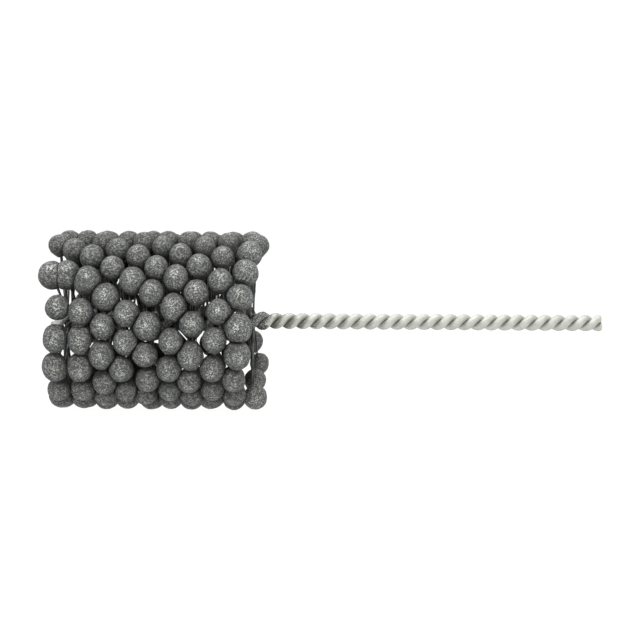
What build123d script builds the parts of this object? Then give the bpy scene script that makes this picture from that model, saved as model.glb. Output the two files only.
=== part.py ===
from build123d import *

import os
from functools import cache
from math import cos, pi, radians, sin

# Flexible ball hone. Lengths are in millimetres and angles in degrees.
# The stem's axis is X. The origin is on it at the drive end, the tip is towards -X, and Z is up.
# Bearings about the stem are measured from +Y towards +Z. The lay of the wires is left-handed.

# Stem
stem_length = 343.0
wire_dia = 5.0
strand_gap = 0.06
shank_lead = 16.8
shank_start = 202.8
shank_start_bearing = 86.75
lay_margin = 2.0

# Filaments, laid between the two strands and twisted in with them
filament_dia = 0.7
filament_gap = 0.076
tuft_columns = 2
tuft_layers = 3
wire_clearance = 0.3

# Head
head_dia = 111.4
head_start = 214.3
tufts_per_turn = 17
steady_tufts = 72
tip_tufts = 8
tip_set_back = 1.3
first_tuft_half_steps = 15.5

# Abrasive balls
ball_dia = 14.4
tip_ball_dia = 14.0
ball_dia_swing = 0.25
ball_grades = 7
grade_stride = 3
ball_oval = 1.0
neck_dia = 4.2
neck_length = 1.6
neck_root_dia = 7.6
neck_root_depth = 1.8
filament_embed = 4.5
socket_clearance = 0.1
ball_travel = 4.0
socket_end_clearance = 0.3

# Sizes that follow from those above
wire_radius = wire_dia / 2
strand_pitch = filament_dia + filament_gap
tuft_pitch = tuft_columns * strand_pitch
brush_lead = tufts_per_turn * tuft_pitch
row_count = 2 * tufts_per_turn
row_step = 360.0 / row_count
head_bearing = first_tuft_half_steps * row_step - 90.0
bundle_half_thickness = (tuft_layers - 1) * strand_pitch / 2 + filament_dia / 2
brush_strand_radius = bundle_half_thickness + wire_clearance + wire_radius
shank_strand_radius = wire_radius + strand_gap / 2
head_radius = head_dia / 2
ball_radius = ball_dia / 2
filament_reach = head_radius - 2 * ball_radius - neck_length + filament_embed
tuft_count = steady_tufts + tip_tufts

# The strands run on past each cut face by this much before they are cut
cut_allowance = 4.0
lay_points = 9


def tuft_place(index):
    """How far a tuft is along the lay from the first one, in tufts, and its station on the stem."""
    in_tip_set = index >= steady_tufts
    turn = index + (0.5 if in_tip_set else 0.0)
    station = -head_start - turn * tuft_pitch - (tip_set_back if in_tip_set else 0.0)
    return turn, station


def tuft_bearing(index):
    """The bearing of a tuft's first end. Its second end is opposite."""
    return head_bearing + tuft_place(index)[0] * 2 * row_step


def row_of(bearing):
    """The number of the row of balls that lies on a bearing, counted from 1 beside the lowest line."""
    return round((bearing + 90.0) / row_step + 0.5 - 1) % row_count + 1


def radial_plane(station, bearing):
    """A plane square to the direction that a ball stands out in, with its own X along the stem."""
    outward = (0, cos(radians(bearing)), sin(radians(bearing)))
    return Plane(origin=(station, 0, 0), x_dir=(1, 0, 0), z_dir=outward)


def lay_point(station, bearing, radius):
    """A point on the centre line of a strand."""
    return Vector(station, radius * cos(radians(bearing)), radius * sin(radians(bearing)))


def lay_direction(bearing, radius, lead):
    """The direction in which a strand runs towards the drive end there."""
    around = -2 * pi * radius / lead
    return Vector(1, -around * sin(radians(bearing)), around * cos(radians(bearing))).normalized()


def steady_lay(start, end):
    """The stretch of a strand's centre line between two stages, at an even left-hand lead."""
    station, bearing, radius, lead = start
    outward = (0, cos(radians(bearing)), sin(radians(bearing)))
    plane = Plane(origin=(station, 0, 0), x_dir=outward, z_dir=(1, 0, 0))
    return plane * Helix(pitch=lead, height=end[0] - station, radius=radius, lefthand=True)


def changing_lay(start, end):
    """The stretch of a strand's centre line where its lead and radius change smoothly."""
    span = end[0] - start[0]
    leaving, arriving = (-360.0 * span / stage[3] for stage in (start, end))
    points = []
    for step in range(lay_points):
        t = step / (lay_points - 1)
        rise = t * t * (3 - 2 * t)
        bearing = start[1] + (end[1] - start[1]) * rise
        bearing += leaving * t * (1 - t) ** 2 - arriving * t * t * (1 - t)
        radius = start[2] + (end[2] - start[2]) * rise
        points.append(lay_point(start[0] + span * t, bearing, radius))
    return Spline(*points, tangents=[lay_direction(*start[1:]), lay_direction(*end[1:])])


def strand_stages(side):
    """Where a strand's lay changes, from tip to drive end: station, bearing, radius and lead."""
    brush = (brush_strand_radius, brush_lead)
    shank = (shank_strand_radius, shank_lead)
    tip_end = -stem_length - cut_allowance
    tip_set_start = tuft_place(steady_tufts)[1]
    steady_end = tuft_place(steady_tufts - 1)[1]
    head_end = lay_margin - head_start
    tip_bearing = tuft_bearing(steady_tufts) + side
    head_end_bearing = tuft_bearing(0) + side - 360.0 * lay_margin / brush_lead
    even_turn = head_end_bearing + 360.0 * (shank_start + head_end) / shank_lead
    half_turns = round((even_turn - shank_start_bearing) / 180.0)
    shank_bearing = shank_start_bearing + 180.0 * half_turns
    return [
        (tip_end, tip_bearing + 360.0 * (tip_set_start - tip_end) / brush_lead, *brush),
        (tip_set_start, tip_bearing, *brush),
        (steady_end, tuft_bearing(steady_tufts - 1) + side, *brush),
        (head_end, head_end_bearing, *brush),
        (-shank_start, shank_bearing, *shank),
        (cut_allowance, shank_bearing - 360.0 * (shank_start + cut_allowance) / shank_lead, *shank),
    ]


def stem_wire(side):
    """One strand of the stem, from the flush cut tip to the flush cut drive end."""
    tip, tip_set, steady, head_end, shank, drive_end = strand_stages(side)
    lays = [
        steady_lay(tip, tip_set),
        changing_lay(tip_set, steady),
        steady_lay(steady, head_end),
        changing_lay(head_end, shank),
        steady_lay(shank, drive_end),
    ]
    centre_line = Wire([lay.edges()[0] for lay in lays])
    section = Plane(origin=centre_line @ 0, z_dir=centre_line % 0) * Circle(wire_radius)
    strand = sweep(section, path=centre_line, is_frenet=True)
    keep = Pos(-stem_length / 2, 0, 0) * Box(stem_length, 4 * wire_dia, 4 * wire_dia)
    return strand & keep


def bundle_offsets():
    """Where the filaments of a tuft lie in its section: along the stem, and across the tuft."""
    return [
        (
            (column - (tuft_columns - 1) / 2) * strand_pitch,
            (layer - (tuft_layers - 1) / 2) * strand_pitch,
        )
        for column in range(tuft_columns)
        for layer in range(tuft_layers)
    ]


def filament_tuft(index):
    """The filaments of one tuft. Each runs through the stem from one ball to the opposite one."""
    plane = radial_plane(tuft_place(index)[1], tuft_bearing(index))
    filament = Cylinder(filament_dia / 2, 2 * filament_reach)
    return [plane * Pos(along, across, 0) * filament for along, across in bundle_offsets()]


def ball_size(index, far_end):
    """The diameter of one ball. They are built up by dipping, so neighbours are never quite alike."""
    nominal = tip_ball_dia if index >= steady_tufts else ball_dia
    count = 2 * index + (1 if far_end else 0)
    grade = count * grade_stride % ball_grades
    return nominal + ball_dia_swing * (2 * grade / (ball_grades - 1) - 1)


def ball_body(radius):
    """The oval body of a ball. It is longer round the head than along the stem or outwards."""
    breadth = radius + ball_oval / 2
    return scale(Sphere(radius), by=(1, breadth / radius, 1))


def ball_neck(radius):
    """The drawn-out neck of a ball, which tapers from inside its body towards the stem."""
    height = neck_root_depth + neck_length
    neck = Cone(neck_dia / 2, neck_root_dia / 2, height, align=(Align.CENTER, Align.CENTER, Align.MIN))
    return Pos(0, 0, -radius - neck_length) * neck


@cache
def abrasive_ball(diameter):
    """A ball at the origin, its neck pointing down, with a blind socket for each filament."""
    radius = diameter / 2
    neck_end = radius + neck_length
    socket_depth = filament_reach + ball_travel + socket_end_clearance - (head_radius - radius - neck_end)
    socket = Cylinder(
        filament_dia / 2 + socket_clearance,
        socket_depth,
        align=(Align.CENTER, Align.CENTER, Align.MIN),
    )
    sockets = [Pos(along, across, -neck_end) * socket for along, across in bundle_offsets()]
    return ball_body(radius) + ball_neck(radius) - sockets


def placed_ball(index, far_end):
    """The ball at one end of a tuft. It touches the head's outside with its crown."""
    diameter = ball_size(index, far_end)
    bearing = tuft_bearing(index) + (180.0 if far_end else 0.0)
    plane = radial_plane(tuft_place(index)[1], bearing)
    return plane * Pos(0, 0, head_radius - diameter / 2) * abrasive_ball(diameter)


def write(name, solids):
    """Writes one node, as one solid or a group of separate ones."""
    solids = [solid for shape in solids for solid in shape.solids()]
    shape = solids[0] if len(solids) == 1 else Compound(children=solids)
    export_step(shape, f"parts/{name}.step")


def main():
    """Builds every node."""
    os.makedirs("parts", exist_ok=True)
    for name, side in (("stem_wire_a", 90.0), ("stem_wire_b", -90.0)):
        write(name, [stem_wire(side)])

    balls = {row: [] for row in range(1, row_count + 1)}
    tufts = {row: [] for row in range(1, tufts_per_turn + 1)}
    for index in range(tuft_count):
        near_row = row_of(tuft_bearing(index))
        far_row = row_of(tuft_bearing(index) + 180.0)
        balls[near_row].append(placed_ball(index, False))
        balls[far_row].append(placed_ball(index, True))
        tufts[min(near_row, far_row)] += filament_tuft(index)

    for row, solids in tufts.items():
        write(f"filament_tufts_{row:02d}", solids)
    for row, solids in balls.items():
        write(f"ball_row_{row:02d}", solids)


main()
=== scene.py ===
"""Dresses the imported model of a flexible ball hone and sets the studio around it."""

import logging
import math
import random
from dataclasses import dataclass, field, replace
from enum import Enum

import bmesh
import bpy
import numpy as np
from bpy.types import ID, ColorRamp, Material, Node, NodeSocket, NodeTree, Object
from mathutils import Matrix, Vector, noise


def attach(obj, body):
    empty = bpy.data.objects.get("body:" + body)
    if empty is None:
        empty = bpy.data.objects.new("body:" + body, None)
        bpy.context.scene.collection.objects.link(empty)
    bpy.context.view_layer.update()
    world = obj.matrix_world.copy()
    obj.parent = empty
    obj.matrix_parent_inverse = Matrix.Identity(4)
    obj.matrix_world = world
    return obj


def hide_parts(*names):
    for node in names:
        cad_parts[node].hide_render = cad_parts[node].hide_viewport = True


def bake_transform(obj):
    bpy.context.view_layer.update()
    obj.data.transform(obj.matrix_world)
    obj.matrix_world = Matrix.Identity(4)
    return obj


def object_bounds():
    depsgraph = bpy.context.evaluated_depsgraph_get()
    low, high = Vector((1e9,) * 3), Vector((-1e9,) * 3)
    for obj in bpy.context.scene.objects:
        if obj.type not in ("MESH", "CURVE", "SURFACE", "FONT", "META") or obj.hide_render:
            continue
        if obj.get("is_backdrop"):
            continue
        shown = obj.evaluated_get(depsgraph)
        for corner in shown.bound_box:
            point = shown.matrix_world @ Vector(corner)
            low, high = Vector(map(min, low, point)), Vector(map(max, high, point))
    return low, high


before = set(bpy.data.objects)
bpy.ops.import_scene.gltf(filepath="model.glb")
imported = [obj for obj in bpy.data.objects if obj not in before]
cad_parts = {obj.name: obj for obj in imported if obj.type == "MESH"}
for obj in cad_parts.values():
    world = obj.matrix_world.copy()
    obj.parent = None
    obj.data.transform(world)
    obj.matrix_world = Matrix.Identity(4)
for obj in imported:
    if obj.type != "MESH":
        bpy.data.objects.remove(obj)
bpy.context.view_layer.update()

MM = 0.001
LINES = 34
# The balls of the photographed side, by line and place from the tip. Each strays towards the
# drive end in millimetres and round the stem in degrees. Then comes its width along the stem, and
# for some how much longer it is round the head.
STRAYED_BALLS: dict[int, dict[int, tuple[float, ...]]] = {
    1: {5: (0.1, 0.5, 14.0, 2.0)},
    3: {5: (0.2, 7.4, 13.6, 2.0)},
    5: {3: (-0.5, 3.0, 14.0, 2.5), 4: (1.2, 3.0, 14.0, 2.5), 5: (3.9, 4.2, 12.0)},
    7: {1: (2.5, 0.5, 14.4), 3: (0.3, 1.2, 13.4)},
    9: {3: (-3.0, 0.0, 13.4)},
    11: {3: (-1.5, 0.0, 13.4)},
    16: {5: (-0.5, 0.0, 13.4, 1.2)},
    18: {
        0: (5.9, 0.0, 13.3), 1: (2.4, 0.0, 14.3), 2: (1.5, 0.0, 13.5), 3: (-0.6, 0.0, 13.5),
        4: (-1.1, 0.0, 13.5), 5: (-1.6, 0.0, 14.3),
    },
    19: {
        0: (1.0, -3.4, 13.0), 1: (-0.6, -4.2, 13.1), 2: (-0.2, -7.1, 12.7),
        3: (-1.8, -2.5, 12.5),
    },
    20: {
        0: (3.8, -6.0, 12.2), 1: (-0.4, 0.8, 13.2), 2: (-0.8, 0.0, 13.7), 3: (-0.4, -4.4, 12.7),
        4: (-1.3, -4.1, 12.7), 5: (-0.5, 4.2, 14.7, 2.0),
    },
    21: {
        0: (-1.0, -1.0, 13.9), 1: (0.2, -1.3, 13.7), 2: (-1.0, -3.4, 13.0),
        3: (-2.1, -0.4, 13.2, 1.6),
    },
    22: {
        0: (6.0, 6.0, 15.6), 1: (0.1, 5.8, 15.6), 2: (0.2, 0.2, 13.7), 3: (-0.3, -0.2, 13.7),
        4: (-1.5, -2.0, 14.7), 5: (-0.4, 3.1, 14.7),
    },
    23: {
        0: (0.1, -0.1, 15.6), 1: (0.4, 0.1, 14.7), 2: (-0.6, -1.9, 14.0, 3.3),
        3: (-0.9, 0.0, 14.6, 0.3),
    },
    24: {
        0: (-0.6, 2.0, 14.9), 1: (-0.3, -1.1, 14.2), 2: (-0.6, -1.4, 14.0),
        3: (-1.7, 1.5, 15.0, 0.4),
    },
    25: {
        0: (0.2, -0.9, 13.5), 1: (-0.8, 2.0, 14.0), 2: (-0.5, 3.2, 14.5), 3: (0.4, -1.5, 14.7),
        4: (0.4, 1.3, 14.4, 0.6),
    },
    26: {
        0: (-0.3, 1.2, 13.4, 1.8), 1: (-1.0, 1.2, 15.6, 1.5), 2: (-1.4, -0.7, 14.4, 0.5),
        3: (-1.0, 1.6, 15.8, 2.4),
    },
    27: {
        0: (0.2, -0.8, 13.4, 3.6), 1: (0.2, 0.1, 13.4, 4.6), 2: (0.3, 1.1, 13.6, 2.5),
        3: (0.3, 0.6, 13.8, 1.5), 4: (-0.8, -0.2, 14.2, 1.3),
    },
    28: {
        0: (-0.2, 0.6, 14.6, 3.4), 1: (-1.2, 0.2, 14.2, 0.4), 2: (-0.9, 1.0, 14.9, 3.4),
        3: (-0.1, 0.3, 15.0, 3.2),
    },
    29: {
        0: (-0.1, 0.3, 14.3, 4.2), 1: (0.1, 0.7, 14.1, 3.9), 2: (-1.8, 1.4, 13.7, 2.4),
        3: (-0.3, 1.1, 14.0, 2.2), 4: (-1.3, 0.8, 14.1, 2.2),
    },
    30: {
        0: (0.9, 4.2, 13.7), 1: (0.4, 0.8, 13.5), 2: (-1.4, 1.8, 13.9, 2.0),
        3: (-1.2, 0.6, 13.4, 2.4),
    },
    31: {
        0: (0.9, 2.9, 13.4), 1: (0.7, 2.7, 14.0), 2: (0.6, 3.4, 13.5), 3: (0.1, 2.5, 13.5),
        4: (-0.4, 1.2, 13.7),
    },
    32: {3: (-0.4, 0.0, 13.6)},
    33: {5: (-0.5, 0.3, 14.1, 1.5)},
    34: {3: (-0.1, 0.0, 13.6)},
}

log = logging.getLogger("ball_hone")


class Slot(Enum):
    """Names of material slots."""

    WIRE = "zinc_wire"
    NYLON = "nylon_filament"
    ABRASIVE = "abrasive"


class Body(Enum):
    """The bodies of the frame that are named one by one."""

    STEM = "stem"
    TUFTS = "tufts"


class Grain(Enum):
    """What is read of each grain: a random shade, or how far its middle is."""

    SHADE = "Color"
    MIDDLE = "Distance"


@dataclass(frozen=True)
class Reading:
    """A socket of a material that takes part in sums, as a number that varies over a surface."""

    graph: "Graph"
    socket: NodeSocket

    def _with(self, operation: str, first: "Term", second: "Term" = 0.0) -> "Reading":
        """The result of a Math node. Some operations leave out the second term."""
        node = self.graph.node("ShaderNodeMath", {"operation": operation}, {0: first, 1: second})
        return Reading(self.graph, node.outputs[0])

    def __add__(self, other: "Term") -> "Reading":
        """self + other."""
        return self._with("ADD", self, other)

    __radd__ = __add__

    def __mul__(self, other: "Term") -> "Reading":
        """self * other."""
        return self._with("MULTIPLY", self, other)

    __rmul__ = __mul__

    def __sub__(self, other: "Term") -> "Reading":
        """self - other."""
        return self._with("SUBTRACT", self, other)

    def __rsub__(self, other: "Term") -> "Reading":
        """other - self."""
        return self._with("SUBTRACT", other, self)

    def __truediv__(self, other: "Term") -> "Reading":
        """self / other."""
        return self._with("DIVIDE", self, other)

    def __rtruediv__(self, other: "Term") -> "Reading":
        """other / self."""
        return self._with("DIVIDE", other, self)

    def least(self, other: "Term") -> "Reading":
        """The smaller of self and other."""
        return self._with("MINIMUM", self, other)

    def clamped(self) -> "Reading":
        """self, kept between 0 and 1."""
        return self._with("MINIMUM", self._with("MAXIMUM", self, 0.0), 1.0)

    def root(self) -> "Reading":
        """The square root of self."""
        return self._with("SQRT", self)

    def blended(self, other: "Reading", share: float) -> "Reading":
        """self and other in one. share is how much of it self is, up to 1."""
        return self * share + other * (1 - share)


Term = int | float | Reading
Colour = tuple[float, float, float]
Stops = tuple[tuple[float, float], ...]
Points = np.ndarray
Faces = list[list[int]]


class Graph:
    """The nodes of one material or of the world."""

    def __init__(self, tree: NodeTree) -> None:
        """Empties the tree and keeps it."""
        self.tree = tree
        tree.nodes.clear()

    def node(self, kind: str, settings: dict | None = None, inputs: dict | None = None) -> Node:
        """Adds one node.

        Args:
            kind: The node's type.
            settings: What is set before its sockets. "stops" holds a colour ramp's stops.
            inputs: A value, a reading or a socket for each named or numbered input.

        Returns:
            The new node.
        """
        made = self.tree.nodes.new(kind)
        for name, value in (settings or {}).items():
            if name == "stops":
                self._set_stops(made.color_ramp, value)
            else:
                setattr(made, name, value)
        for name, value in (inputs or {}).items():
            target = made.inputs[name]
            if isinstance(value, Reading):
                value = value.socket
            if isinstance(value, NodeSocket):
                self.tree.links.new(value, target)
            else:
                target.default_value = value
        return made

    @staticmethod
    def _set_stops(ramp: ColorRamp, stops: Stops) -> None:
        """Gives a ramp its grey stops.

        Args:
            ramp: The ramp.
            stops: The place and the brightness of each stop.
        """
        while len(ramp.elements) < len(stops):
            ramp.elements.new(1.0)
        for element, (place, grey) in zip(ramp.elements, stops):
            element.position = place
            element.color = (grey, grey, grey, 1.0)

    def reading(self, node: Node, output: str | int = 0) -> Reading:
        """One output of a node, as a reading."""
        return Reading(self, node.outputs[output])

    def channel(self, colour: NodeSocket) -> Reading:
        """The red part of a colour, which is the brightness of a grey one."""
        return self.reading(self.node("ShaderNodeSeparateColor", inputs={0: colour}))

    def place(self) -> NodeSocket:
        """The point of the surface in the row frame, in metres."""
        return self.node("ShaderNodeTexCoord").outputs["Object"]

    def part(self, vector: NodeSocket, axis: str) -> Reading:
        """The part of a vector along one axis."""
        return self.reading(self.node("ShaderNodeSeparateXYZ", inputs={0: vector}), axis)

    def along_stem(self) -> Reading:
        """How far the point lies along the stem, in metres. The drive end is at 0."""
        return self.part(self.place(), "X")

    def from_axis(self) -> Reading:
        """How far the point lies from the stem's axis, in metres."""
        y, z = (self.part(self.place(), axis) for axis in "YZ")
        return (y * y + z * z).root()

    def strands(self, width: float) -> Reading:
        """Random values from 0 to 1 that change along the stem alone, from filament to filament.

        Args:
            width: How far apart the values change, in metres.

        Returns:
            The values.
        """
        made = self.node(
            "ShaderNodeTexNoise",
            {"noise_dimensions": "1D"},
            {"W": self.along_stem(), "Scale": 1.0 / width, "Detail": 1.0},
        )
        return self.reading(made, "Fac")

    def noise(self, size: float, detail: float = 2.0, rough: float = 0.5) -> Reading:
        """Soft random values from 0 to 1.

        Args:
            size: How large the patches are, in metres.
            detail: How many finer layers there are.
            rough: How strong the finer layers are.

        Returns:
            The values.
        """
        made = self.node(
            "ShaderNodeTexNoise",
            inputs={
                "Vector": self.place(),
                "Scale": 1.0 / size,
                "Detail": detail,
                "Roughness": rough,
            },
        )
        return self.reading(made, "Fac")

    def grains(self, size: float, what: Grain = Grain.SHADE) -> Reading:
        """The grains of a packed bed.

        Args:
            size: How large the grains are, in metres.
            what: What is read of them.

        Returns:
            The values.
        """
        made = self.node(
            "ShaderNodeTexVoronoi",
            {"feature": "F1"},
            {"Vector": self.place(), "Scale": 1.0 / size},
        )
        if what is Grain.MIDDLE:
            return self.reading(made, what.value)
        return self.channel(made.outputs[what.value])

    def ramp(self, value: Reading, stops: Stops) -> Reading:
        """A value turned into a brightness by grey stops, each a place and its brightness."""
        made = self.node("ShaderNodeValToRGB", {"stops": stops}, {"Fac": value})
        return self.channel(made.outputs["Color"])

    def mix(
        self, factor: Term, first: Colour | NodeSocket, second: Colour | NodeSocket
    ) -> NodeSocket:
        """A colour between two others.

        Args:
            factor: 0 for the first colour and 1 for the second.
            first: The first colour.
            second: The second colour.

        Returns:
            The mixed colour.
        """
        sockets = [
            (*colour, 1.0) if isinstance(colour, tuple) else colour
            for colour in (first, second)
        ]
        inputs = {0: factor, 6: sockets[0], 7: sockets[1]}
        return self.node("ShaderNodeMix", {"data_type": "RGBA"}, inputs).outputs[2]

    def bump(self, height: Reading, depth: float) -> NodeSocket:
        """A normal that is roughened by a height from 0 to 1, depth metres deep."""
        made = self.node(
            "ShaderNodeBump", inputs={"Height": height, "Distance": depth, "Strength": 1.0}
        )
        return made.outputs["Normal"]

    def finish(self, inputs: dict) -> None:
        """Ends a material in its shader. inputs holds the values or links of its sockets."""
        shader = self.node("ShaderNodeBsdfPrincipled", inputs=inputs)
        self.node("ShaderNodeOutputMaterial", inputs={"Surface": shader.outputs[0]})


def new_graph(name: str) -> tuple[Material, Graph]:
    """A new material and its graph.

    Args:
        name: The material's name.

    Returns:
        The material and its empty graph.
    """
    material = bpy.data.materials.new(name)
    material.use_nodes = True
    return material, Graph(material.node_tree)


@dataclass(frozen=True)
class GritLook:
    """Coarse silicon carbide grains in dark resin, with pale facets that catch the light."""

    grain: float = 0.66 * MM
    fine_grain: float = 0.38 * MM
    patch: float = 9.0 * MM
    dark: Colour = (0.018, 0.018, 0.018)
    pale: Colour = (0.405, 0.414, 0.393)
    warm: Colour = (0.065, 0.067, 0.060)
    cool: Colour = (0.061, 0.0645, 0.0622)
    # The darkest painted shade, between the balls towards the stem.
    shade: Colour = (0.008, 0.008, 0.008)
    patch_stops: Stops = ((0.35, 0.0), (0.65, 1.0))
    shadow_stops: Stops = ((0.25, 1.0), (0.5, 0.0))
    glint_stops: Stops = ((0.55, 0.0), (0.82, 1.0))
    coarse_in_shadow: float = 0.6
    coarse_in_glint: float = 0.55
    coarse_in_height: float = 0.65
    shadow: float = 0.8
    glint: float = 0.75
    # Painted shade: the balls are lightest at their crowns (outer) and shaded towards the stem
    # (inner).
    inner: float = 43.7 * MM
    outer: float = 55.7 * MM
    unshaded_stops: Stops = (
        (0.0, 0.09),
        (0.44, 0.2),
        (0.68, 0.4),
        (0.92, 0.53),
        (0.97, 0.75),
        (1.0, 1.0),
    )
    # Painted shade is lighter near both open ends of the head, where light reaches the balls'
    # inner sides.
    drive_end: float = -224.0 * MM
    tip_end: float = -334.0 * MM
    end_fade: float = 9.0 * MM
    openness: float = 0.5
    roughness: float = 0.72
    depth: float = 0.20 * MM

    def colour(self, graph: Graph) -> NodeSocket:
        """The grains' colour.

        Args:
            graph: The graph that it is added to.

        Returns:
            The colour.
        """
        patches = graph.ramp(graph.noise(self.patch), self.patch_stops)
        body = graph.mix(patches, self.warm, self.cool)
        coarse = graph.grains(self.grain)
        fine = graph.grains(self.fine_grain)
        shadowed = graph.ramp(coarse.blended(fine, self.coarse_in_shadow), self.shadow_stops)
        glinting = graph.ramp(coarse.blended(fine, self.coarse_in_glint), self.glint_stops)
        darkened = graph.mix(shadowed * self.shadow, body, self.dark)
        return graph.mix(glinting * self.glint, darkened, self.pale)

    def shaded_colour(self, graph: Graph) -> NodeSocket:
        """The grains' colour on a ball, with painted shade: it darkens towards the stem, where
        the balls shade each other, less at both open ends of the head.

        Args:
            graph: The graph that it is added to.

        Returns:
            The colour.
        """
        # Painted shade: lighter outward, darker towards the stem, and lighter again at both open
        # ends.
        outward = (graph.from_axis() - self.inner) / (self.outer - self.inner)
        unshaded = graph.ramp(outward, self.unshaded_stops)
        station = graph.along_stem()
        at_drive_end = ((station - self.drive_end) / self.end_fade).clamped()
        at_tip = ((self.tip_end - station) / self.end_fade).clamped()
        lit_at_ends = (at_drive_end + at_tip) * self.openness
        unshaded = unshaded + lit_at_ends * (1.0 - unshaded)
        return graph.mix(unshaded, self.shade, self.colour(graph))

    def height(self, graph: Graph) -> Reading:
        """The grains' height, from 0 to 1."""
        coarse = 1.0 - graph.grains(self.grain, Grain.MIDDLE)
        return coarse.blended(graph.noise(self.fine_grain), self.coarse_in_height)

    def material(self) -> Material:
        """Makes the finish of the balls.

        Returns:
            The material.
        """
        made, graph = new_graph("silicon_carbide_grit")
        graph.finish(
            {
                "Base Color": self.shaded_colour(graph),
                "Roughness": self.roughness,
                "Normal": graph.bump(self.height(graph), self.depth),
            }
        )
        return made


@dataclass(frozen=True)
class NylonLook:
    """Drawn black nylon, glossy along its length. Some filaments are painted pale, partly for
    grit on them and partly as painted sheen where they catch the light.
    """

    black: Colour = (0.010, 0.010, 0.011)
    # Pale colour of grit and painted sheen on some filaments.
    dust_and_sheen: Colour = (0.27, 0.27, 0.262)
    strand: float = 0.55 * MM
    strand_share: float = 0.75
    dust_and_sheen_patch: float = 5.0 * MM
    dust_and_sheen_detail: float = 3.0
    dust_and_sheen_stops: Stops = ((0.5, 0.0), (0.66, 1.0))
    dust_and_sheen_share: float = 0.8
    gloss: float = 0.42
    dulled: float = 0.6
    shine: float = 0.22

    def material(self) -> Material:
        """Makes the finish of the filaments.

        Returns:
            The material.
        """
        made, graph = new_graph("drawn_nylon")
        # Grit and painted sheen: which filaments are painted pale.
        patches = graph.noise(self.dust_and_sheen_patch, self.dust_and_sheen_detail)
        spread = graph.strands(self.strand).blended(patches, self.strand_share)
        dusted_and_lit = graph.ramp(spread, self.dust_and_sheen_stops)
        graph.finish(
            {
                "Base Color": graph.mix(dusted_and_lit * self.dust_and_sheen_share, self.black, self.dust_and_sheen),
                "Roughness": dusted_and_lit * (self.dulled - self.gloss) + self.gloss,
                "Specular IOR Level": self.shine,
            }
        )
        return made


@dataclass(frozen=True)
class ZincLook:
    """Zinc-plated wire, dulled by handling. Grit sticks to it in the head, but not at the tip."""

    grit: GritLook
    coat_end: float = -206.9 * MM
    tip: float = -333.0 * MM
    bright: Colour = (0.49, 0.49, 0.462)
    dull: Colour = (0.42, 0.425, 0.38)
    soiled: Colour = (0.165, 0.165, 0.125)
    patch: float = 5.0 * MM
    patch_detail: float = 4.0
    patch_stops: Stops = ((0.38, 0.0), (0.66, 1.0))
    scratch: float = 0.5 * MM
    scratch_detail: float = 3.0
    scratch_rough: float = 0.7
    scratch_height: float = 0.05
    soil: float = 0.75
    soil_patch: float = 3.2 * MM
    soil_detail: float = 5.0
    soil_rough: float = 0.65
    soil_stops: Stops = ((0.5, 0.0), (0.72, 1.0))
    soil_in_valley: float = 0.3
    soil_length: float = 80.0 * MM
    valley: float = 2.6 * MM
    crest: float = 4.9 * MM
    roughness: float = 0.36
    roughness_swing: float = 0.12
    metal: float = 0.85
    edge: float = 1.2 * MM
    edge_patch: float = 2.2 * MM
    edge_swing: float = 6.0 * MM
    depth: float = 0.20 * MM

    def coated(self, graph: Graph) -> Reading:
        """Where grit covers the wire. Its edges are ragged.

        Args:
            graph: The graph that it is added to.

        Returns:
            1 under the grit and 0 on bare metal.
        """
        station = graph.along_stem()
        ragged = (graph.noise(self.edge_patch) - 0.5) * self.edge_swing
        in_head = ((self.coat_end - station + ragged) / self.edge).clamped()
        return in_head.least(((station + ragged - self.tip) / self.edge).clamped())

    def soiled_part(self, graph: Graph) -> Reading:
        """Where the metal is soiled: near the head, and most in the valleys between the wires.

        Args:
            graph: The graph that it is added to.

        Returns:
            1 where it is soiled and 0 where it is not.
        """
        away = self.coat_end + self.soil_length - graph.along_stem()
        near_head = (away / self.soil_length).clamped()
        height = (graph.from_axis() - self.valley) / (self.crest - self.valley)
        valley = 1.0 - height.clamped()
        patches = graph.noise(self.soil_patch, self.soil_detail, self.soil_rough)
        soil = graph.ramp(patches + valley * self.soil_in_valley, self.soil_stops)
        return soil * near_head * near_head

    def material(self) -> Material:
        """Makes the finish of both wires.

        Returns:
            The material.
        """
        made, graph = new_graph("zinc_plated_wire")
        coated = self.coated(graph)
        bare = 1.0 - coated
        wear = graph.ramp(graph.noise(self.patch, self.patch_detail), self.patch_stops)
        rub = graph.noise(self.scratch, self.scratch_detail, self.scratch_rough)
        metal = graph.mix(wear, self.bright, self.dull)
        metal = graph.mix(self.soiled_part(graph) * self.soil, metal, self.soiled)
        height = rub * bare * self.scratch_height + self.grit.height(graph) * coated
        worn = wear * self.roughness_swing + rub * self.roughness_swing + self.roughness
        graph.finish(
            {
                "Base Color": graph.mix(coated, metal, self.grit.colour(graph)),
                "Metallic": bare * self.metal,
                "Roughness": worn * bare + coated * self.grit.roughness,
                "Normal": graph.bump(height, self.depth),
            }
        )
        return made


def add_object(name: str, data: ID) -> Object:
    """Puts a mesh, a lamp or a camera into the scene.

    Args:
        name: The object's name.
        data: What it shows.

    Returns:
        The new object, at the origin.
    """
    made = bpy.data.objects.new(name, data)
    bpy.context.scene.collection.objects.link(made)
    return made


def add_piece(name: str, points: Points, faces: Faces, look: Material) -> Object:
    """Makes a smooth mesh piece.

    Args:
        name: The piece's name.
        points: Its corners in the row frame, in metres.
        faces: The corners of each face.
        look: Its finish.

    Returns:
        The new object, at the origin.
    """
    mesh = bpy.data.meshes.new(name)
    mesh.from_pydata(points.tolist(), [], faces)
    mesh.validate()
    mesh.shade_smooth()
    mesh.materials.append(look)
    log.info("%s: %d faces", name, len(mesh.polygons))
    return add_object(name, mesh)


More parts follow.
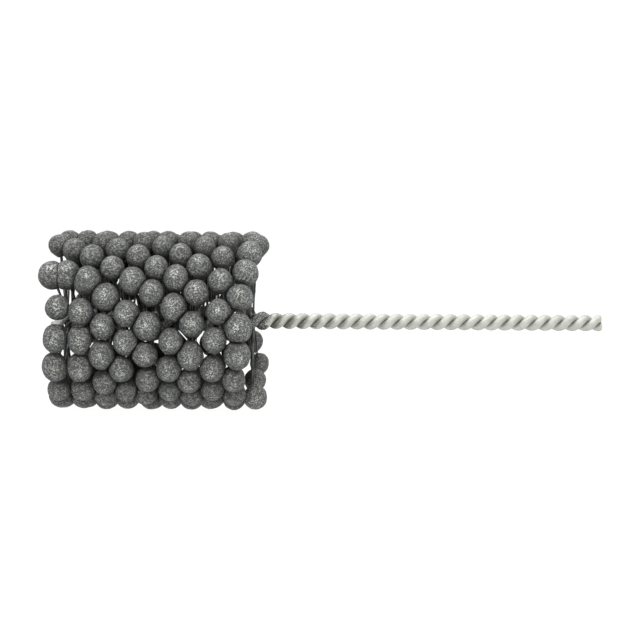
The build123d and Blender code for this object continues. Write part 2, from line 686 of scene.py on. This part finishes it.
def tube_faces(first: int, stretches: int, sides: int) -> Faces:
    """The side faces of a tube made of rings of corners.

    Args:
        first: The number of its first corner.
        stretches: How many stretches lie between its rings.
        sides: How many corners a ring has.

    Returns:
        The corners of each face.
    """
    faces = []
    for low in range(first, first + stretches * sides, sides):
        for side in range(sides):
            beside = (side + 1) % sides
            faces.append([low + side, low + beside, low + sides + beside, low + sides + side])
    return faces


def node_corners(node: str) -> Points:
    """The corners of a CAD node in the row frame, in metres."""
    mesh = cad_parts[node].data
    return np.array([corner.co for corner in mesh.vertices])


def smooth(part: float) -> float:
    """A part of a change, from 0 to 1, that starts and ends gently."""
    return part * part * (3 - 2 * part)


def line_bearing(line: int) -> float:
    """The bearing of a line of balls, in radians."""
    return 2 * math.pi * (line - 0.5) / LINES - math.pi / 2


def point(station: float, bearing: float, reach: float) -> Points:
    """A point, from its station, its bearing in radians and how far it is from the axis."""
    return np.array((station, reach * math.cos(bearing), reach * math.sin(bearing)))


def direction(bearing: float) -> Points:
    """The direction straight out from the stem on a bearing in radians."""
    return point(0.0, bearing, 1.0)


@dataclass(frozen=True)
class Ball:
    """One ball's place and size, and the seed of its own shape."""

    line: int
    station: float
    bearing: float
    reach: float
    radius: float
    seed: int
    oval: float | None = None

    @property
    def outward(self) -> Points:
        """The direction from the stem to the ball."""
        return direction(self.bearing)

    @property
    def given(self) -> Points:
        """The direction against which its line gives way."""
        return direction(line_bearing(self.line))

    @property
    def sideways(self) -> Points:
        """The direction round the stem, square to the outward one."""
        return direction(self.bearing + math.pi / 2)

    @property
    def centre(self) -> Points:
        """The ball's middle, in metres."""
        return point(self.station, self.bearing, self.reach)

    @property
    def crown(self) -> float:
        """How far its outermost point lies from the stem's axis, in metres."""
        return self.reach + self.radius

    def strayed(self, along: float, turn: float, radius: float) -> "Ball":
        """The same ball, off its regular place, with its crown on the same radius.

        Args:
            along: How far it lies towards the drive end, in metres.
            turn: How far it lies round the stem, in radians.
            radius: Its new radius, in metres.

        Returns:
            The moved ball.
        """
        return replace(
            self,
            station=self.station + along,
            bearing=self.bearing + turn,
            reach=self.crown - radius,
            radius=radius,
        )


@dataclass(frozen=True)
class BallForm:
    """How a ball departs from a true sphere. It is built up by dipping, so it is never even."""

    detail: int = 4
    swell: float = 0.05
    grown: float = 1.045
    size_swing: float = 0.045
    oval: float = 0.8 * MM
    oval_swing: float = 0.4 * MM
    wander: float = 0.7 * MM
    egg: float = 0.045
    lump: float = 0.042
    lump_waves: float = 1.3
    dimple: float = 0.020
    dimple_waves: float = 4.0
    grain: float = 0.12 * MM
    grain_waves: float = 1.1
    noise_reach: float = 50.0
    neck_radius: float = 1.9 * MM
    neck_least: float = 0.8 * MM
    neck_most: float = 2.2 * MM
    nubs: int = 2
    nub_rarity: int = 3
    nub_height: float = 0.55 * MM
    nub_radius: float = 0.8 * MM
    contact_gap: float = 0.2 * MM
    neighbourhood: float = 1.5
    give: float = 4.0 * MM

    def settled(self, ball: Ball) -> Ball:
        """A ball as it came out of the dip, a little off its regular size and place.

        Args:
            ball: The ball in its regular place.

        Returns:
            The ball where it settled.
        """
        draw = random.Random(-ball.seed)
        radius = ball.radius * (1 + self.swell + self.size_swing * draw.uniform(-1, 1))
        along, beside = draw.gauss(0, self.wander), draw.gauss(0, self.wander)
        return ball.strayed(along, beside / ball.reach, radius)

    def unit(self) -> tuple[Points, Faces]:
        """An even mesh of a ball of radius 1.

        Returns:
            Its corners and its faces.
        """
        made = bmesh.new()
        bmesh.ops.create_icosphere(made, subdivisions=self.detail, radius=1.0)
        points = np.array([corner.co for corner in made.verts])
        faces = [[corner.index for corner in face.verts] for face in made.faces]
        made.free()
        return points, faces

    def sphere_and_neck(self, unit: Points, radius: float, neck: float) -> Points:
        """How far a ball with a drawn-out neck reaches in each direction.

        Args:
            unit: The directions. The neck lies towards -Z.
            radius: The ball's radius, in metres.
            neck: How far the neck reaches from the middle, in metres.

        Returns:
            The reach in each direction, in metres.
        """
        rim = math.atan2(self.neck_radius, neck)
        touch = rim + math.acos(radius / math.hypot(neck, self.neck_radius))
        angles = np.arccos(np.clip(-unit[:, 2], -1.0, 1.0))
        reach = np.full(len(unit), radius)
        on_cone = (angles < touch) & (angles >= rim)
        reach[on_cone] = radius / np.cos(angles[on_cone] - touch)
        on_end = angles < rim
        reach[on_end] = neck / np.cos(angles[on_end])
        return reach

    def points(self, ball: Ball, unit: Points) -> Points:
        """The corners of one lumpy, slightly egg-shaped ball.

        Args:
            ball: The ball.
            unit: The corners of a ball of radius 1.

        Returns:
            The ball's corners in the row frame, in metres.
        """
        draw = random.Random(ball.seed)
        radius, oval = ball.radius, ball.oval
        neck = radius + draw.uniform(self.neck_least, self.neck_most)
        reach = self.sphere_and_neck(unit, radius, neck)
        far = self.noise_reach
        shift = Vector([draw.uniform(-far, far) for _ in range(3)])
        nubs = [Vector([draw.gauss(0, 1) for _ in range(3)]) for _ in range(self.nubs)]
        heights = [draw.random() ** self.nub_rarity * self.nub_height for _ in nubs]
        for index, direction in enumerate(unit):
            way = Vector(direction)
            rough = self.lump * radius * noise.noise(way * self.lump_waves + shift)
            rough += self.dimple * radius * noise.noise(way * self.dimple_waves + shift)
            rough += self.grain * noise.noise(way * (self.grain_waves * radius / MM) + shift)
            for nub, height in zip(nubs, heights):
                spread = way.angle(nub) * radius / self.nub_radius
                rough += height * math.exp(-spread * spread)
            reach[index] += rough
        if oval is None:
            oval = self.oval + self.oval_swing * draw.uniform(-1, 1)
        shape = unit * reach[:, None]
        shape[:, 0] *= 1 + self.egg * unit[:, 1]
        shape[:, 1] *= 1 + oval / radius
        axes = np.array(((1.0, 0.0, 0.0), ball.sideways, ball.outward))
        return ball.centre + shape @ axes

    def pressed(self, points: Points, ball: Ball, others: list[Ball]) -> Points:
        """The corners of a ball, flat where it presses against its neighbours.

        It clears a neighbour of another line also when either of the two has given way.

        Args:
            points: The ball's corners, in metres.
            ball: The ball.
            others: Every ball.

        Returns:
            The new corners.
        """
        walls = []
        for other in others:
            apart = np.linalg.norm(other.centre - ball.centre)
            if other is ball or apart > self.neighbourhood * (ball.radius + other.radius):
                continue
            gives = [(0.0, 0.0)]
            if other.line != ball.line:
                gives += [(self.give, 0.0), (0.0, self.give), (self.give, self.give)]
            for own, its in gives:
                here = ball.centre - ball.given * own
                way = other.centre - other.given * its - here
                distance = np.linalg.norm(way)
                share = ball.radius / (ball.radius + other.radius)
                walls.append((way / distance, distance * share - self.contact_gap / 2))
        for way, contact in walls:
            beyond = np.maximum((points - ball.centre) @ way - contact, 0.0)
            points = points - beyond[:, None] * way
        return points


@dataclass(frozen=True)
class FilamentForm:
    """How the filaments of a tuft run from the stem to their ball."""

    radius: float = 0.32 * MM
    pitch: float = 0.70 * MM
    columns: int = 2
    layers: int = 3
    sides: int = 6
    stretches: int = 8
    bow: float = 0.13 * MM
    stray_chance: float = 0.09
    stray_bow: float = 1.0 * MM
    embed: float = 3.5 * MM
    crowding: float = 2.5 * MM
    lean: float = 0.5
    fan: float = 3.5
    crowded_length: float = 6.0 * MM
    drive_root: float = -214.3 * MM
    tip_root: float = -339.0 * MM
    seed: int = 1000

    def nearness(self, station: float) -> tuple[float, float]:
        """How near a tuft is to the last ones of the head.

        Args:
            station: Its place along the stem, in metres.

        Returns:
            How near it is to the one at the drive end and to the one at the tip, up to 1.
        """
        drive = math.exp((station - self.drive_root) / self.crowded_length)
        tip = math.exp((self.tip_root - station) / self.crowded_length)
        return drive, tip

    def points(self, ball: Ball, column: int, layer: int, draw: random.Random) -> Points:
        """The corners of one filament, from the stem's axis into its ball.

        Args:
            ball: The ball at its end.
            column: Its place along the stem.
            layer: Its place across the tuft.
            draw: Where its bow comes from.

        Returns:
            Rings of corners, in metres.
        """
        along = (column - (self.columns - 1) / 2) * self.pitch
        across = (layer - (self.layers - 1) / 2) * self.pitch
        drive, tip = self.nearness(ball.station)
        root = self.crowding * (drive - tip)
        width = self.stray_bow if draw.random() < self.stray_chance else self.bow
        width *= 1 + self.fan * (drive + tip)
        bow = draw.gauss(0, width), draw.gauss(0, width)
        end = ball.reach - ball.radius + self.embed
        rings = []
        for step in range(self.stretches + 1):
            part = step / self.stretches
            swing = math.sin(math.pi * part) ** 2
            station = ball.station - root * (1 - self.lean * part) + along + bow[0] * swing
            middle = point(station, ball.bearing, end * part)
            middle += ball.sideways * (across + bow[1] * swing)
            for side in range(self.sides):
                turn = 2 * math.pi * side / self.sides
                ring = np.array((math.cos(turn), 0.0, 0.0)) + ball.sideways * math.sin(turn)
                rings.append(middle + ring * self.radius)
        return np.array(rings)

    def faces(self, first: int) -> Faces:
        """The faces of one filament, with both ends closed.

        Args:
            first: The number of its first corner.

        Returns:
            The corners of each face.
        """
        last = first + self.stretches * self.sides
        ends = [range(first, first + self.sides)[::-1], range(last, last + self.sides)]
        return tube_faces(first, self.stretches, self.sides) + [list(end) for end in ends]


@dataclass
class Head:
    """The abrasive head: lines of balls, and the filaments that carry them."""

    grit: Material
    nylon: Material
    form: BallForm = BallForm()
    filament: FilamentForm = FilamentForm()
    neck_reach: float = 41.0 * MM
    neck_gap: float = 3.0 * MM
    root: float = 7.0 * MM
    balls: dict[int, list[Ball]] = field(default_factory=dict)

    @property
    def every_ball(self) -> list[Ball]:
        """The balls of all the lines."""
        return [ball for balls in self.balls.values() for ball in balls]

    def read_balls(self) -> None:
        """Reads each ball's place and size from the frame, from the tip on in each line."""
        seed = 0
        for line in range(1, LINES + 1):
            places = node_corners(f"ball_row_{line:02d}")
            radii = np.hypot(places[:, 1], places[:, 2])
            necks = np.sort(places[radii < self.neck_reach][:, 0])
            groups = np.split(necks, np.flatnonzero(np.diff(necks) > self.neck_gap) + 1)
            stations = np.array([(group[0] + group[-1]) / 2 for group in groups])
            nearest = np.abs(places[:, :1] - stations).argmin(axis=1)
            bearing = line_bearing(line)
            self.balls[line] = []
            for index, station in enumerate(stations):
                own = nearest == index
                radius = np.ptp(places[own][:, 0]) / 2
                seed += 1
                ball = Ball(line, station, bearing, radii[own].max() - radius, radius, seed)
                strayed = STRAYED_BALLS.get(line, {}).get(index)
                if strayed:
                    along, turn, width, *longer = strayed
                    radius = width / 2 * MM * self.form.grown
                    ball = ball.strayed(along * MM, math.radians(turn), radius)
                    if longer:
                        ball = replace(ball, oval=longer[0] / 2 * MM)
                else:
                    ball = self.form.settled(ball)
                self.balls[line].append(ball)

    def line_of_balls(self, line: int, unit: Points, faces: Faces) -> Object:
        """The balls of one line, as one piece that moves with its row.

        Args:
            line: The line's number.
            unit: The corners of a ball of radius 1.
            faces: Its faces.

        Returns:
            The piece.
        """
        points = [
            self.form.pressed(self.form.points(ball, unit), ball, self.every_ball)
            for ball in self.balls[line]
        ]
        every = [
            [corner + index * len(unit) for corner in face]
            for index in range(len(points))
            for face in faces
        ]
        made = add_piece(f"abrasive_balls_{line:02d}", np.concatenate(points), every, self.grit)
        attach(made, f"row_{line:02d}")
        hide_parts(f"ball_row_{line:02d}")
        return made

    def line_of_filaments(self, line: int) -> Object:
        """The filaments behind one line of balls. They bend from the stem to the balls.

        Args:
            line: The line's number.

        Returns:
            The piece.
        """
        points, faces, count = [], [], 0
        for ball in self.balls[line]:
            draw = random.Random(self.filament.seed + ball.seed)
            for column in range(self.filament.columns):
                for layer in range(self.filament.layers):
                    corners = self.filament.points(ball, column, layer, draw)
                    points.append(corners)
                    faces += self.filament.faces(count)
                    count += len(corners)
        made = add_piece(f"nylon_filaments_{line:02d}", np.concatenate(points), faces, self.nylon)
        first = self.balls[line][0]
        tuple(point(first.station, first.bearing, self.root))
        tuple(point(first.station, first.bearing, first.reach - first.radius))
        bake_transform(made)
        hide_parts(f"filament_tufts_{(line - 1) % (LINES // 2) + 1:02d}")
        return made

    def build(self) -> None:
        """Builds every line of balls and filaments."""
        self.read_balls()
        unit, faces = self.form.unit()
        for line in range(1, LINES + 1):
            self.line_of_balls(line, unit, faces)
            self.line_of_filaments(line)


@dataclass(frozen=True)
class Stage:
    """A place along the stem where the lay of the wires changes."""

    station: float
    bearing: float
    radius: float
    lead: float


@dataclass(frozen=True)
class StemLay:
    """How the two wires are twisted, from the tip to the drive end. Bearings are in degrees."""

    length: float = 343.0 * MM
    wire_radius: float = 2.58 * MM
    shank_lead: float = 16.8 * MM
    shank_start: float = 202.8 * MM
    shank_start_bearing: float = 86.75
    shank_radius: float = 2.53 * MM
    brush_lead: float = 26.384 * MM
    brush_radius: float = 3.926 * MM
    head_start: float = 214.3 * MM
    head_bearing: float = 74.1176
    steady_tufts: int = 72
    tufts_per_turn: int = 17
    tip_set_step: float = 1.5
    tip_set_back: float = 1.3 * MM
    margin: float = -1.2 * MM
    closing: float = 0.6
    allowance: float = 4.0 * MM

    def stages(self, side: float) -> list[Stage]:
        """The stages of one strand.

        Args:
            side: Its bearing from that of the tufts, in degrees.

        Returns:
            The stages from the tip to the drive end.
        """
        turn = 360.0 / self.tufts_per_turn
        pitch = self.brush_lead / self.tufts_per_turn
        last = self.steady_tufts - 1
        steady_end = -self.head_start - last * pitch
        tip_set = steady_end - self.tip_set_step * pitch - self.tip_set_back
        tip_bearing = self.head_bearing + (last + self.tip_set_step) * turn + side
        tip_end = -self.length - self.allowance
        head_end = self.margin - self.head_start
        head_bearing = self.head_bearing + side - 360.0 * self.margin / self.brush_lead
        even = head_bearing + 360.0 * (self.shank_start + head_end) / self.shank_lead
        half_turns = round((even - self.shank_start_bearing) / 180.0)
        shank = self.shank_start_bearing + 180.0 * half_turns
        drive = shank - 360.0 * (self.shank_start + self.allowance) / self.shank_lead
        brush = (self.brush_radius, self.brush_lead)
        bare = (self.shank_radius, self.shank_lead)
        return [
            Stage(tip_end, tip_bearing + 360.0 * (tip_set - tip_end) / self.brush_lead, *brush),
            Stage(tip_set, tip_bearing, *brush),
            Stage(steady_end, self.head_bearing + last * turn + side, *brush),
            Stage(head_end, head_bearing, *brush),
            Stage(-self.shank_start, shank, *bare),
            Stage(self.allowance, drive, *bare),
        ]

    def between(self, start: Stage, end: Stage, t: float) -> Points:
        """A point of a strand's centre line.

        Args:
            start: The stage before it.
            end: The stage after it.
            t: How far it is from the first to the second, from 0 to 1.

        Returns:
            The point, in metres.
        """
        span = end.station - start.station
        leaving, arriving = (-360.0 * span / stage.lead for stage in (start, end))
        bearing = start.bearing + (end.bearing - start.bearing) * smooth(t)
        bearing += leaving * t * (1 - t) ** 2 - arriving * t * t * (1 - t)
        closed = smooth(min(1.0, t / self.closing))
        radius = start.radius + (end.radius - start.radius) * closed
        return point(start.station + span * t, math.radians(bearing), radius)


@dataclass
class Stem:
    """The stem: two zinc-plated wires twisted together, cut flush at both ends."""

    zinc: Material
    lay: StemLay = StemLay()
    step: float = 0.42 * MM
    sides: int = 32
    coat_start: float = 207.6 * MM
    coat_stop: float = 334.0 * MM
    coat_fade: float = 3.0 * MM
    coat_depth: float = 0.22 * MM
    coat_least: float = 0.6
    coat_waves: float = 0.5
    crumb: float = 0.5 * MM
    crumb_waves: float = 0.9
    dent: float = 0.035 * MM
    dent_waves: float = 0.45
    round_length: float = 0.7 * MM
    round_depth: float = 0.16
    edge_reach: float = 1e-5
    face_reach: float = 1e-6

    def centre_line(self, side: float) -> Points:
        """The points of one strand's centre line, past both cut faces.

        Args:
            side: The strand's bearing from that of the tufts, in degrees.

        Returns:
            The points, in metres.
        """
        stages = self.lay.stages(side)
        points = []
        for start, end in zip(stages, stages[1:]):
            count = max(2, round((end.station - start.station) / self.step))
            for index in range(count):
                points.append(self.lay.between(start, end, index / count))
        points.append(self.lay.between(stages[-2], stages[-1], 1.0))
        return np.array(points)

    def tube(self, line: Points, seed: int) -> tuple[Points, Faces]:
        """A wire round a centre line, with dents, and with grit caked on it beside the head.

        Args:
            line: The centre line's points.
            seed: What its dents are drawn from.

        Returns:
            Its corners and its faces.
        """
        tangents = np.gradient(line, axis=0)
        tangents /= np.linalg.norm(tangents, axis=1)[:, None]
        radial = line * np.array((0.0, 1.0, 1.0))
        radial -= (radial * tangents).sum(axis=1)[:, None] * tangents
        radial /= np.linalg.norm(radial, axis=1)[:, None]
        around = np.cross(tangents, radial)
        shift = Vector((seed, 0, 0))
        corners = []
        for middle, out, beside in zip(line, radial, around):
            caked = min(1.0, max(0.0, (-self.coat_start - middle[0]) / self.coat_fade))
            caked = min(caked, max(0.0, (middle[0] + self.coat_stop) / self.coat_fade))
            for side in range(self.sides):
                turn = 2 * math.pi * side / self.sides
                way = out * math.cos(turn) + beside * math.sin(turn)
                at = Vector((middle + way * self.lay.wire_radius) / MM)
                dent = self.dent * noise.noise(at * self.dent_waves + shift)
                crumbs = max(0.0, noise.noise(at * self.crumb_waves)) * self.crumb
                coat = self.coat_least + noise.noise(at * self.coat_waves)
                raised = dent + caked * (self.coat_depth * coat + crumbs)
                corners.append(middle + way * (self.lay.wire_radius + raised))
        return np.array(corners), tube_faces(0, len(line) - 1, self.sides)

    def cut_ends(self, made: Object) -> None:
        """Cuts a wire flush at both ends, caps it, and rounds the rims.

        Args:
            made: The wire, which runs on past both ends.
        """
        shape = bmesh.new()
        shape.from_mesh(made.data)
        for station, away in ((0.0, 1.0), (-self.lay.length, -1.0)):
            bmesh.ops.bisect_plane(
                shape,
                geom=shape.verts[:] + shape.edges[:] + shape.faces[:],
                plane_co=(station, 0, 0),
                plane_no=(away, 0, 0),
                clear_outer=True,
            )
            edges = [edge for edge in shape.edges if edge.is_boundary]
            rim = [e for e in edges if abs(e.verts[0].co.x - station) < self.edge_reach]
            bmesh.ops.contextual_create(shape, geom=rim)
            near = [c for c in shape.verts if abs(c.co.x - station) < self.round_length]
            face = [c.co for c in near if abs(c.co.x - station) < self.face_reach]
            middle = sum(face, Vector()) / len(face)
            for corner in near:
                depth = 1 - abs(corner.co.x - station) / self.round_length
                pull = self.round_depth * depth * depth
                corner.co.y += (middle.y - corner.co.y) * pull
                corner.co.z += (middle.z - corner.co.z) * pull
        bmesh.ops.recalc_face_normals(shape, faces=shape.faces[:])
        shape.to_mesh(made.data)
        shape.free()

    def build(self) -> None:
        """Builds both wires."""
        for name, side in (("a", 90.0), ("b", -90.0)):
            corners, faces = self.tube(self.centre_line(side), ord(name))
            made = add_piece(f"twisted_wire_{name}", corners, faces, self.zinc)
            self.cut_ends(made)
            made.data.shade_smooth()
            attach(made, Body.STEM.value)
            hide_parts(f"stem_wire_{name}")


@dataclass(frozen=True)
class Lamp:
    """A soft square lamp. It shows in gloss alone, or lights everything but gloss."""

    name: str
    place: tuple[float, float, float]
    width: float
    power: float
    gloss: bool = False


@dataclass(frozen=True)
class Studio:
    """The pale floor, the soft light and the camera."""

    floor_level: float
    metres_per_pixel: float = 0.624 * MM
    drive_end_pixel: float = 600.9
    axis_pixel: float = 321.2
    focal_pixels: float = 1118.0
    image_pixels: int = 640
    sensor: float = 36.0
    elevation: float = 3.25
    roll: float = 0.4
    nearest: float = 0.01
    farthest: float = 100.0
    floor_size: float = 40.0
    floor_grey: float = 0.05
    floor_glow: float = 0.98
    aim: tuple[float, float, float] = (-0.2, 0.0, 0.0)
    horizon: float = 1.0
    zenith: float = 1.3
    lamps: tuple[Lamp, ...] = (
        Lamp("front", (-0.2, -1.2, 0.56), 0.9, 34.0),
        Lamp("back", (-0.2, 1.2, 0.56), 0.9, 14.0),
        Lamp("overhead", (-0.2, 0.0, 0.9), 1.5, 6.0, gloss=True),
    )

    def camera(self) -> None:
        """Sets the camera where the photograph was taken from."""
        data = bpy.data.cameras.new("camera")
        data.sensor_width = self.sensor
        data.lens = self.focal_pixels / self.image_pixels * self.sensor
        data.clip_start, data.clip_end = self.nearest, self.farthest
        camera = add_object("camera", data)
        middle = self.image_pixels / 2
        along = (middle - self.drive_end_pixel) * self.metres_per_pixel
        target = Vector((along, 0, (self.axis_pixel - middle) * self.metres_per_pixel))
        distance = self.focal_pixels * self.metres_per_pixel
        rise = math.radians(self.elevation)
        back = Vector((0, -math.cos(rise), math.sin(rise)))
        turn = back.to_track_quat("Z", "Y").to_matrix().to_4x4()
        roll = Matrix.Rotation(math.radians(self.roll), 4, "Z")
        camera.matrix_world = Matrix.Translation(target + back * distance) @ turn @ roll
        bpy.context.scene.camera = camera

    def floor(self) -> None:
        """Lays a plain white floor under the balls."""
        half = self.floor_size / 2
        sides = [(-half, -half), (half, -half), (half, half), (-half, half)]
        corners = np.array([(x, y, self.floor_level) for x, y in sides])
        material, graph = new_graph("white_floor")
        graph.finish(
            {
                "Base Color": (self.floor_grey, self.floor_grey, self.floor_grey, 1.0),
                "Roughness": 1.0,
                "Specular IOR Level": 0.0,
                "Emission Color": (1.0, 1.0, 1.0, 1.0),
                "Emission Strength": self.floor_glow,
            }
        )
        add_piece("floor", corners, [[0, 1, 2, 3]], material)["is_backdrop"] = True

    def hang(self, lamp: Lamp) -> None:
        """Hangs a lamp that points at the part.

        Args:
            lamp: The lamp.
        """
        data = bpy.data.lights.new(lamp.name, "AREA")
        data.size, data.energy = lamp.width, lamp.power
        made = add_object(lamp.name, data)
        made.location = lamp.place
        away = Vector(lamp.place) - Vector(self.aim)
        made.rotation_euler = away.to_track_quat("Z", "Y").to_euler()
        made.visible_diffuse = not lamp.gloss
        made.visible_glossy = lamp.gloss

    def light(self) -> None:
        """Lights the part from all round, and more from above."""
        world = bpy.data.worlds.new("studio")
        bpy.context.scene.world = world
        world.use_nodes = True
        graph = Graph(world.node_tree)
        way = graph.node("ShaderNodeTexCoord").outputs["Generated"]
        height = graph.part(way, "Z").clamped()
        sky = graph.node(
            "ShaderNodeBackground",
            inputs={
                "Color": (1.0, 1.0, 1.0, 1.0),
                "Strength": height * (self.zenith - self.horizon) + self.horizon,
            },
        )
        graph.node("ShaderNodeOutputWorld", inputs={"Surface": sky.outputs[0]})
        for lamp in self.lamps:
            self.hang(lamp)

    def build(self) -> None:
        """Sets the camera, the floor and the light."""
        self.camera()
        self.floor()
        self.light()
        bpy.context.scene.view_settings.view_transform = "Standard"


def main() -> None:
    """Builds the pieces, then the studio."""
    logging.basicConfig(level=logging.INFO, format="%(message)s")
    grit = GritLook()
    Head(grit.material(), NylonLook().material()).build()
    Stem(ZincLook(grit).material()).build()
    Studio(floor_level=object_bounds()[0].z).build()


if __name__ == "__main__":
    main()
